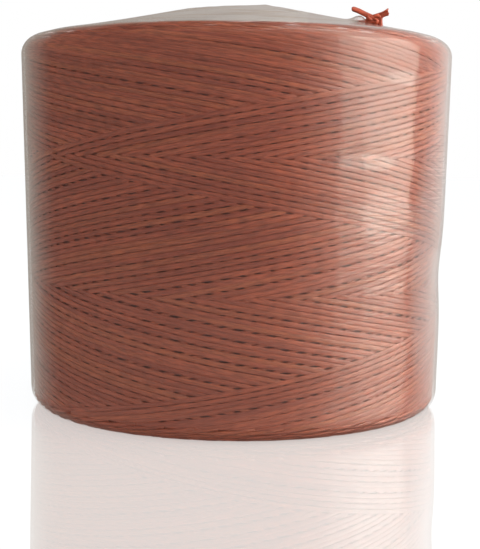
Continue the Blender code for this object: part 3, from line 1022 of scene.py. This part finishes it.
@dataclass(frozen=True)
class Bench:
    """A node tree with short ways to add nodes. A node given as a value is its first output."""

    tree: bpy.types.NodeTree

    def fill(self, node: bpy.types.Node, inputs: dict[str | int, object]) -> None:
        """Links sockets to a node's inputs and sets numbers and colours on them."""
        for name, value in inputs.items():
            target = node.inputs[name]
            if isinstance(value, bpy.types.Node):
                value = value.outputs[0]
            if isinstance(value, Socket):
                self.tree.links.new(value, target)
            else:
                target.default_value = (*value, 1.0) if target.type == "RGBA" else value

    def add(
        self, kind: str, inputs: dict[str | int, object] | None = None, **settings: object
    ) -> bpy.types.Node:
        """A node of a kind, with its settings and its inputs."""
        node = self.tree.nodes.new(f"ShaderNode{kind}")
        for name, value in settings.items():
            setattr(node, name, value)
        self.fill(node, inputs or {})
        return node

    def maths(self, operation: str, first: object, second: object = 0.0) -> Socket:
        """A Math node's output."""
        return self.add("Math", {0: first, 1: second}, operation=operation).outputs[0]

    def product(self, *factors: object) -> Socket:
        """The product of sockets and numbers."""
        return reduce(lambda total, factor: self.maths("MULTIPLY", total, factor), factors)

    def ramp(self, value: Socket, places: Span, results: Span = (0.0, 1.0)) -> Socket:
        """A smooth change between two results as the value goes between two places."""
        names = ("Value", "From Min", "From Max", "To Min", "To Max")
        inputs = dict(zip(names, (value, *places, *results)))
        return self.add("MapRange", inputs, interpolation_type="SMOOTHSTEP").outputs["Result"]

    def blend(self, share: Socket, first: object, second: object) -> Socket:
        """A mix of two colours."""
        return self.add("Mix", {0: share, 6: first, 7: second}, data_type="RGBA").outputs[2]

    def mixed(self, share: object, first: object, second: object) -> Socket:
        """A mix of two shaders."""
        return self.add("MixShader", {0: share, 1: first, 2: second}).outputs[0]

    def show(self, shader: Socket) -> None:
        """Makes a shader the material's surface."""
        self.fill(self.tree.nodes["Material Output"], {"Surface": shader})

    def object_place(self) -> Socket:
        """Object coordinates."""
        return self.add("TexCoord").outputs["Object"]

    def strand_place(self) -> Socket:
        """The piece's own UV map, in centimetres along it."""
        return self.add("UVMap", uv_map="strand").outputs[0]

    def split(self, place: Socket) -> tuple[Socket, ...]:
        """The three coordinates of a place."""
        return tuple(self.add("SeparateXYZ", {0: place}).outputs)

    def mapped(self, place: Socket, scale: tuple, shift: tuple = (0.0, 0.0, 0.0)) -> Socket:
        """A place scaled and then shifted."""
        inputs = {"Vector": place, "Location": shift, "Scale": scale}
        return self.add("Mapping", inputs).outputs[0]

    def noise(self, place: Socket, detail: float, scale: float = 1.0) -> Socket:
        """Noise from 0 to 1."""
        inputs = {"Vector": place, "Scale": scale, "Detail": detail}
        return self.add("TexNoise", inputs).outputs["Fac"]


def new_material(name: str) -> tuple[bpy.types.Material, Bench, bpy.types.Node]:
    """A material with its nodes and its Principled node."""
    made = bpy.data.materials.new(name)
    made.use_nodes = True
    return made, Bench(made.node_tree), made.node_tree.nodes["Principled BSDF"]


def fibre_group() -> bpy.types.NodeTree:
    """Node group for fibres that run with a strand.

    It takes the strand's UV map and three scales, and gives a mask of fine streaks, a slow
    variation along the strand and a slower one of its hue, each from 0 to 1.

    Returns:
        The group.
    """
    group = bpy.data.node_groups.new("strand_fibres", "ShaderNodeTree")
    sockets = group.interface
    sockets.new_socket("UV", in_out="INPUT", socket_type="NodeSocketVector")
    for name, scale in (("Streaks Along", 3.5), ("Streaks Across", 13.0), ("Slow Along", 0.35)):
        socket = sockets.new_socket(name, in_out="INPUT", socket_type="NodeSocketFloat")
        socket.default_value = scale
    for name in ("Streaks", "Slow", "Hue"):
        sockets.new_socket(name, in_out="OUTPUT", socket_type="NodeSocketFloat")
    inputs, outputs = group.nodes.new("NodeGroupInput"), group.nodes.new("NodeGroupOutput")
    bench = Bench(group)
    along, across, _ = bench.split(inputs.outputs["UV"])
    for target, along_scale, across_scale, shift, detail in (
        ("Streaks", inputs.outputs["Streaks Along"], inputs.outputs["Streaks Across"], 0.0, 3.0),
        ("Slow", inputs.outputs["Slow Along"], 0.9, 31.0, 1.0),
        ("Hue", 0.11, 0.3, 77.0, 1.0),
    ):
        u, v = bench.product(along, along_scale), bench.product(across, across_scale)
        noise = bench.noise(bench.add("CombineXYZ", {0: u, 1: v, 2: shift}), detail)
        bench.fill(outputs, {target: bench.ramp(noise, (0.30, 0.70))})
    return group


@dataclass(frozen=True)
class ThreadFinish:
    """Flat waxed thread: satin fibres along the strand, uneven in shade and slightly in hue."""

    name: str
    light: Colour
    dark: Colour
    other_hue: Colour
    hue_places: Span = (0.45, 1.0)
    hue_share: float = 0.55
    roughness: Span = (0.57, 0.39)  # of the dark streaks and of the fibres
    coat: float = 0.22
    fibre_depth: float = 0.00004
    streak_share: float = 0.62
    streak_shade: float = 0.4  # shade of the fine dark streaks, as a share of the dark colour
    painted_sheen_colour: Colour = (0.36, 0.125, 0.080)  # painted sheen: paler colour of the rows near the base, for the strands' satin sheen there
    painted_sheen_share: float = 0.10
    painted_sheen_heights: Span = (0.024, 0.038)  # heights over which the painted sheen fades out upwards

    def build(self, fibres: bpy.types.NodeTree) -> bpy.types.Material:
        """Makes the material on the shared fibre group.

        Args:
            fibres: the group that fibre_group made.

        Returns:
            The material.
        """
        made, bench, surface = new_material(self.name)
        group = bench.add("Group", node_tree=fibres)
        bench.fill(group, {"UV": bench.strand_place()})
        slow, hue, streaks = (group.outputs[name] for name in ("Slow", "Hue", "Streaks"))
        other = bench.ramp(hue, self.hue_places, (0.0, self.hue_share))
        plain = bench.blend(other, bench.blend(slow, self.dark, self.light), self.other_hue)
        deep = tuple(self.streak_shade * channel for channel in self.dark)
        streak = bench.ramp(streaks, (0.0, 1.0), (self.streak_share, 0.0))
        # Painted sheen: the rows below these heights get a paler colour that stands in for the
        # satin sheen of the strands there.
        height = bench.split(bench.object_place())[2]
        painted_sheen = bench.ramp(height, self.painted_sheen_heights, (self.painted_sheen_share, 0.0))
        bench.fill(surface, {
            "Base Color": bench.blend(painted_sheen, bench.blend(streak, plain, deep), self.painted_sheen_colour),
            "Roughness": bench.ramp(streaks, (0.0, 1.0), self.roughness),
            "Normal": bench.add(
                "Bump", {"Height": streaks, "Distance": self.fibre_depth, "Strength": 0.6}
            ),
            "Coat Weight": self.coat,
            "Coat Roughness": 0.3,
            "Specular IOR Level": 0.3,
        })
        return made


@dataclass(frozen=True)
class ShadedThreadFinish:
    """The thread of the layers below, seen in the gaps, in painted shade: darker and more purple
    than the thread's own colour.
    """

    name: str
    colour: Colour
    deep: Colour
    scale: tuple[float, float, float] = (260.0, 260.0, 1900.0)

    def build(self) -> bpy.types.Material:
        """Makes the material: a fine uneven mix of two dark colours of painted shade."""
        made, bench, surface = new_material(self.name)
        noise = bench.noise(bench.mapped(bench.object_place(), self.scale), 2.0)
        colour = bench.blend(noise, self.colour, self.deep)
        bench.fill(surface, {"Base Color": colour, "Roughness": 0.6})
        return made


@dataclass(frozen=True)
class BoardFinish:
    """Grey board wound in a spiral: fibres, and a faint seam at each ply."""

    name: str
    pale: Colour
    dark: Colour
    seam: Colour
    ply_rise: float = 0.046
    fibre_depth: float = 0.0001

    def build(self) -> bpy.types.Material:
        """Makes the material.

        The seam lies where azimuth / (2 pi) + height / ply_rise is near a whole number.

        Returns:
            The material.
        """
        made, bench, surface = new_material(self.name)
        place = bench.object_place()
        x, y, height = bench.split(place)
        turns = bench.maths("DIVIDE", bench.maths("ARCTAN2", x, y), 2 * math.pi)
        plies = bench.maths("ADD", turns, bench.maths("DIVIDE", height, self.ply_rise))
        part = bench.maths("SUBTRACT", bench.maths("FRACT", plies), 0.5)
        seam = bench.ramp(bench.maths("ABSOLUTE", part), (0.485, 0.5))
        noise = bench.noise(place, 4.0, scale=900.0)
        bench.fill(surface, {
            "Base Color": bench.blend(seam, bench.blend(noise, self.dark, self.pale), self.seam),
            "Roughness": 0.85,
            "Normal": bench.add(
                "Bump", {"Height": noise, "Distance": self.fibre_depth, "Strength": 0.4}
            ),
        })
        return made


@dataclass(frozen=True)
class LoosePatch:
    """An oval place where the film stands off the thread, on its UV map in centimetres."""

    u: float
    v: float
    length: float
    height: float
    share: float  # mirrored share that it adds at its middle

    def mask(self, bench: Bench) -> Socket:
        """The share that the patch adds, which fades to its edge."""
        shift = (-self.u / self.length, -self.v / self.height, 0.0)
        scale = (1 / self.length, 1 / self.height, 0.0)
        place = bench.mapped(bench.strand_place(), scale, shift)
        ball = bench.add("TexGradient", {"Vector": place}, gradient_type="SPHERICAL")
        return bench.product(bench.ramp(ball.outputs["Fac"], (0.0, 0.45)), self.share)


@dataclass(frozen=True)
class Blotches:
    """A mask of soft patches on the film's UV map."""

    round_scale: float  # patches in a centimetre round the package
    up_scale: float  # patches in a centimetre along its profile
    places: Span  # noise values at which a patch begins and is full
    shift: float  # third coordinate of the noise, which tells masks apart

    def mask(self, bench: Bench) -> Socket:
        """Values from 0 to 1."""
        scale = (self.round_scale, self.up_scale, 1.0)
        place = bench.mapped(bench.strand_place(), scale, (0.0, 0.0, self.shift))
        return bench.ramp(bench.noise(place, 2.0), self.places)


@dataclass(frozen=True)
class FilmFinish:
    """Clear shrink film: see-through where it is met squarely and a mirror where it is grazed."""

    name: str
    tint: Colour
    loose: tuple[LoosePatch, ...]
    roughness: float = 0.165
    facing: Span = (0.49, 0.95)  # between which the mirrored share grows
    mirrored: Span = (0.032, 0.93)  # share mirrored where the film is met squarely and grazed
    edge_facing: Span = (0.80, 0.97)  # between which the mirror darkens
    edge_shade: float = 0.16
    haze: float = 0.26  # added share over the gathered ends
    haze_heights: Span = (0.0768, 0.0795)
    uneven: Span = (0.86, 1.0)  # the slack waves change the share between these
    foot: float = 0.22  # what is left of the share at the base
    foot_heights: Span = (0.0012, 0.0050)
    stain: Colour = (0.80, 0.72, 0.63)  # tint of the gathered places
    stains: Blotches = Blotches(0.45, 2.2, (0.42, 0.68), 3.0)
    stain_heights: Span = (0.0765, 0.0780)
    # painted highlights: pale streaks on the creases near the top edge, for light caught by the
    # folds
    crease_highlight_colour: Colour = (0.93, 0.80, 0.77)
    crease_highlight_share: float = 0.26
    crease_highlight_blotches: tuple[Blotches, ...] = (
        Blotches(1.5, 17.0, (0.56, 0.68), 11.0), Blotches(0.35, 0.4, (0.38, 0.55), 19.0),
    )
    crease_highlight_heights: tuple[Span, Span] = ((0.0742, 0.0752), (0.0768, 0.0774))  # heights where the painted crease highlights begin and end
    cling_depth: float = 0.00009  # how far the film follows the strands
    cling_scale: tuple[float, float, float] = (70.0, 70.0, 1300.0)
    slack_depth: float = 0.00035  # how far it waves between them
    slack_scale: tuple[float, float, float] = (90.0, 90.0, 170.0)

    def build(self) -> bpy.types.Material:
        """Makes the material.

        The mirrored share grows as the view gets grazing, more over the gathered ends and on the
        loose patches. A surface seen from its back adds nothing, so that the film's two skins
        count once. Painted highlights of creases lie as a thin pale diffuse layer over the rest.

        Returns:
            The material.
        """
        made, bench, surface = new_material(self.name)
        place = bench.object_place()
        height = bench.split(place)[2]
        cling = bench.noise(bench.mapped(place, self.cling_scale), 2.0)
        slack = bench.noise(bench.mapped(place, self.slack_scale), 1.0)
        fine = bench.add("Bump", {"Height": cling, "Distance": self.cling_depth})
        facing = bench.add("LayerWeight", {"Blend": 0.5}).outputs["Facing"]
        added = bench.ramp(height, self.haze_heights, (0.0, self.haze))
        for patch in self.loose:
            added = bench.maths("ADD", added, patch.mask(bench))
        grazing = bench.ramp(facing, self.facing, self.mirrored)
        back = bench.add("NewGeometry").outputs["Backfacing"]
        front = bench.maths("SUBTRACT", 1.0, back)
        share = bench.product(
            bench.maths("MINIMUM", bench.maths("ADD", grazing, added), 1.0),
            bench.ramp(slack, (0.30, 0.60), self.uneven),
            bench.ramp(height, self.foot_heights, (self.foot, 1.0)),
            front,
        )
        stained = bench.product(self.stains.mask(bench), bench.ramp(height, self.stain_heights))
        tint = bench.blend(stained, self.tint, self.stain)
        edge = bench.ramp(facing, self.edge_facing, (0.0, self.edge_shade))
        bench.fill(surface, {
            "Base Color": bench.blend(edge, tint, BLACK),
            "Metallic": 1.0,
            "Roughness": self.roughness,
            "Normal": bench.add(
                "Bump", {"Height": slack, "Distance": self.slack_depth, "Normal": fine}
            ),
        })
        film = bench.mixed(share, bench.add("BsdfTransparent"), surface)
        # Painted highlight: a pale diffuse layer in streaks near the top edge stands in for light
        # that the creases catch.
        crease_highlight_mask = bench.product(
            bench.ramp(height, self.crease_highlight_heights[0]),
            bench.ramp(height, self.crease_highlight_heights[1], (1.0, 0.0)),
            *(blotches.mask(bench) for blotches in self.crease_highlight_blotches),
            front,
            self.crease_highlight_share,
        )
        bench.show(bench.mixed(crease_highlight_mask, film, bench.add("BsdfDiffuse", {"Color": self.crease_highlight_colour})))
        return made


THREAD = ThreadFinish(
    "waxed_thread", (0.291, 0.061, 0.026), (0.206, 0.038, 0.017), (0.296, 0.078, 0.026)
)
# Painted light: the same thread as THREAD, with paler colours that stand in for the brighter light
# on the knot and its ends above the package.
BARE_THREAD_PAINTED_LIGHT = ThreadFinish(
    "waxed_thread_bare_painted_light", (0.42, 0.066, 0.026), (0.29, 0.040, 0.018), (0.46, 0.09, 0.035),
    coat=0.05,
)
# Painted shade: the under layers' thread gets dark, purple-tinted colours for the shadow in the
# gaps.
SHADED = ShadedThreadFinish("thread_in_shade", (0.200, 0.078, 0.066), (0.100, 0.045, 0.044))
BOARD = BoardFinish("spiral_board", (0.62, 0.56, 0.48), (0.50, 0.44, 0.36), (0.33, 0.28, 0.22))
FILM = FilmFinish("clear_film", (0.95, 0.94, 0.93), (
    LoosePatch(17.40, 10.72, 0.80, 0.17, 0.024),
    LoosePatch(16.45, 9.15, 0.85, 0.20, 0.026),
    LoosePatch(16.95, 8.15, 0.95, 0.62, 0.018),
    LoosePatch(18.50, 7.10, 0.90, 2.80, 0.150),
))


# ---- Studio -------------------------------------------------------------------------------------

WINDOW_LIGHT = (0.98, 1.0, 0.89)
ROOM_LEFT = (0.36, 0.32, 0.28)
ROOM_RIGHT = (0.66, 0.60, 0.57)


def stand(name: str, data: bpy.types.ID, axes: tuple[Array, ...], spot: Array) -> bpy.types.Object:
    """An object of the scene with its three axes and its place."""
    made = bpy.data.objects.new(name, data)
    bpy.context.scene.collection.objects.link(made)
    matrix = np.eye(4)
    matrix[:3] = np.stack([*axes, spot], axis=1)
    made.matrix_world = mathutils.Matrix(matrix.tolist())
    return made


@dataclass(frozen=True)
class Lamp:
    """A rectangular area lamp that faces the middle of the package."""

    name: str
    azimuth: float  # in degrees
    distance: float
    height: float
    size: Span
    power: float
    colour: Colour = WINDOW_LIGHT
    in_gloss: bool = True  # False if reflections don't show it
    aim: float = 0.045  # height of the place that it faces

    def build(self) -> None:
        """Puts the lamp in the scene, unseen by the camera."""
        data = bpy.data.lights.new(self.name, "AREA")
        data.shape = "RECTANGLE"
        data.size, data.size_y = self.size
        data.energy, data.color = self.power, self.colour
        spot = at_azimuth(self.distance, math.radians(self.azimuth), self.height)
        back = unit(spot - self.aim * UP)
        right = unit(np.cross(UP, back))
        made = stand(self.name, data, (right, np.cross(back, right), back), spot)
        made.visible_camera = False
        made.visible_glossy = self.in_gloss


@dataclass(frozen=True)
class TableFinish:
    """A pale glossy table, white to the camera, that keeps the shadow and a faint reflection."""

    name: str = "pale_table"
    base: Colour = (0.86, 0.86, 0.86)
    roughness: float = 0.15
    shaded: Colour = (0.95, 0.896, 0.872)  # the diffuse white that a shadow falls on
    glow: Colour = (1.0, 0.943, 0.918)
    glow_strength: float = 1.14
    glow_share: float = 0.85
    mirror: Colour = (0.85, 0.95, 1.0)
    mirror_share: float = 0.43
    far: Span = (-0.3, 0.3)  # left and right ends of the painted room shade that gloss sees on the table
    blur: float = 0.25  # roughness of what the film shows of the table
    blur_share: float = 0.60
    bounce_share: float = 0.75  # share of plain white in the light that it sends back

    def build(self) -> bpy.types.Material:
        """Makes the material, with one shader for the camera, one for gloss, partly a painted glow
        of the room's shade, and one for light.

        Returns:
            The material.
        """
        made, bench, surface = new_material(self.name)
        bench.fill(surface, {"Base Color": self.base, "Roughness": self.roughness})
        diffuse = bench.add("BsdfDiffuse", {"Color": self.shaded})
        glow = bench.add("Emission", {"Color": self.glow, "Strength": self.glow_strength})
        lit = bench.mixed(self.glow_share, diffuse, glow)
        mirror = bench.add("BsdfGlossy", {"Color": self.mirror, "Roughness": 0.0})
        polished = bench.mixed(self.mirror_share, lit, mirror)
        # Painted reflection: to gloss the table partly glows with the room's shade, dim on the left
        # and bright on the right.
        side = bench.ramp(bench.split(bench.object_place())[0], self.far)
        far = bench.add("Emission", {"Color": bench.blend(side, ROOM_LEFT, ROOM_RIGHT)})
        blurred = bench.add("BsdfGlossy", {"Color": WHITE, "Roughness": self.blur})
        reflected = bench.mixed(self.blur_share, far, blurred)
        white = bench.add("Emission", {"Color": WHITE})
        bounced = bench.mixed(self.bounce_share, surface, white)
        path = bench.add("LightPath")
        other = bench.mixed(path.outputs["Is Glossy Ray"], bounced, reflected)
        bench.show(bench.mixed(path.outputs["Is Camera Ray"], other, polished))
        return made


@dataclass(frozen=True)
class Studio:
    """Camera, lamps, floor and surroundings."""

    camera_distance: float = 0.254
    camera_height: float = 0.0528
    pitch: float = 0.1014
    yaw: float = 0.00445
    roll: float = 0.0093
    lens: float = 77.4
    sensor: float = 36.0
    fill: Colour = (0.95, 0.95, 0.96)
    room_bright: Colour = (0.94, 0.86, 0.82)
    room_front: Colour = (0.30, 0.28, 0.27)
    table_reach: float = 2.5
    lamps: tuple[Lamp, ...] = (
        Lamp("window_0", 83.05, 0.32, 0.112, (0.2147, 0.235), 0.985),
        Lamp("window_1", 57.45, 0.32, 0.112, (0.0792, 0.235), 0.225),
        Lamp("window_2", 46.2, 0.32, 0.112, (0.0470, 0.235), 0.030),
        Lamp("window_3", 37.5, 0.32, 0.112, (0.0504, 0.235), 0.016),
        Lamp("window_top", 74.0, 0.20, 0.28, (0.17, 0.30), 0.48),
        Lamp("overhead", -10.0, 0.30, 0.75, (0.7, 0.7), 1.9, WHITE, in_gloss=False),
    )

    def camera(self) -> None:
        """Sets the camera that the photograph's outline was fitted with."""
        data = bpy.data.cameras.new("camera")
        data.lens, data.sensor_width = self.lens, self.sensor
        data.clip_start, data.clip_end = 0.01, 10.0
        right = np.array([math.cos(self.yaw), -math.sin(self.yaw), 0.0])
        forward = math.cos(self.pitch) * np.cross(UP, right) - math.sin(self.pitch) * UP
        up = np.cross(right, forward)
        turned = math.cos(self.roll) * right + math.sin(self.roll) * up
        upright = math.cos(self.roll) * up - math.sin(self.roll) * right
        spot = np.array([0.0, -self.camera_distance, self.camera_height])
        made = stand("camera", data, (turned, upright, -forward), spot)
        bpy.context.scene.camera = made

    def world(self) -> None:
        """Surroundings: white for the camera, and a room that is dim to the left for gloss."""
        world = bpy.data.worlds.new("surroundings")
        bpy.context.scene.world = world
        world.use_nodes = True
        bench = Bench(world.node_tree)
        sideways, backwards, _ = bench.split(bench.add("TexCoord").outputs["Generated"])
        room = bench.blend(bench.ramp(sideways, (-0.35, 0.35)), ROOM_LEFT, ROOM_RIGHT)
        room = bench.blend(bench.ramp(sideways, (0.3, 0.85)), room, self.room_bright)
        front = bench.ramp(backwards, (-0.95, -0.45), (1.0, 0.0))
        room = bench.blend(front, room, self.room_front)
        path = bench.add("LightPath").outputs
        lit = bench.blend(path["Is Glossy Ray"], self.fill, room)
        shown = bench.maths("MAXIMUM", path["Is Camera Ray"], path["Is Transmission Ray"])
        shown = bench.maths("MAXIMUM", shown, path["Is Singular Ray"])
        seen = bench.blend(shown, lit, WHITE)
        bench.fill(world.node_tree.nodes["Background"], {"Color": seen, "Strength": 1.0})

    def floor(self) -> None:
        """The table's top."""
        corners = self.table_reach * np.array([[-1, -1, 0], [1, -1, 0], [1, 1, 0], [-1, 1, 0]])
        made = mesh_object("table", corners, np.array([[0, 1, 2, 3]]), smooth=False)
        made.data.materials.append(TableFinish().build())

    def build(self) -> None:
        """Sets up the whole studio."""
        bpy.context.scene.view_settings.view_transform = "Standard"
        self.camera()
        self.world()
        self.floor()
        for lamp in self.lamps:
            lamp.build()


# ---- Assembly -----------------------------------------------------------------------------------


def dress(
    piece: bpy.types.Object, material: bpy.types.Material, nodes: tuple[str, ...] = ()
) -> None:
    """Dresses a piece, lets it ride on the spool's one body and hides the solids that it stands
    for.

    Args:
        piece: the object.
        material: its finish.
        nodes: the solids that it stands for.
    """
    piece.data.materials.clear()
    piece.data.materials.append(material)
    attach(piece, "root")
    if nodes:
        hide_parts(*nodes)
    LOG.info("%s: %d faces", piece.name, len(piece.data.polygons))


def main() -> None:
    """Builds the studio and every piece of the spool, in order."""
    logging.basicConfig(level=logging.INFO, format="%(message)s")
    outline, law = Outline(), WindingLaw()
    Studio().build()
    fibres = fibre_group()
    thread, bare_painted_light, shaded = THREAD.build(fibres), BARE_THREAD_PAINTED_LIGHT.build(fibres), SHADED.build()

    for piece in ThreadLayer(outline, law).build():
        dress(piece, thread, ("outer_winding",))
    dress(InnerLayers(outline).build(), shaded, ("wound_body",))
    for face, first_turn in ((Face.TOP, math.radians(50)), (Face.BASE, math.radians(24))):
        dress(EndFace(outline, law, face, first_turn).build(), thread)

    end = LooseEnd(outline, law)
    dress(end.build_tail(), thread, ("thread_tail",))
    dress(end.build_knot(), bare_painted_light, ("tail_knot",))
    dress(end.build_neck(), bare_painted_light)
    dress(end.build_foot(), bare_painted_light)
    dress(end.build_left_end(), bare_painted_light, ("tail_end_left",))
    dress(end.build_right_end(), bare_painted_light, ("tail_end_right",))
    dress(ShrinkWrap(outline).build(), FILM.build(), ("shrink_film",))

    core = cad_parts["core_tube"]
    core.data.materials.clear()
    core.data.materials.append(BOARD.build())
    LOG.info("core_tube: dressed as board")


if __name__ == "__main__":
    main()
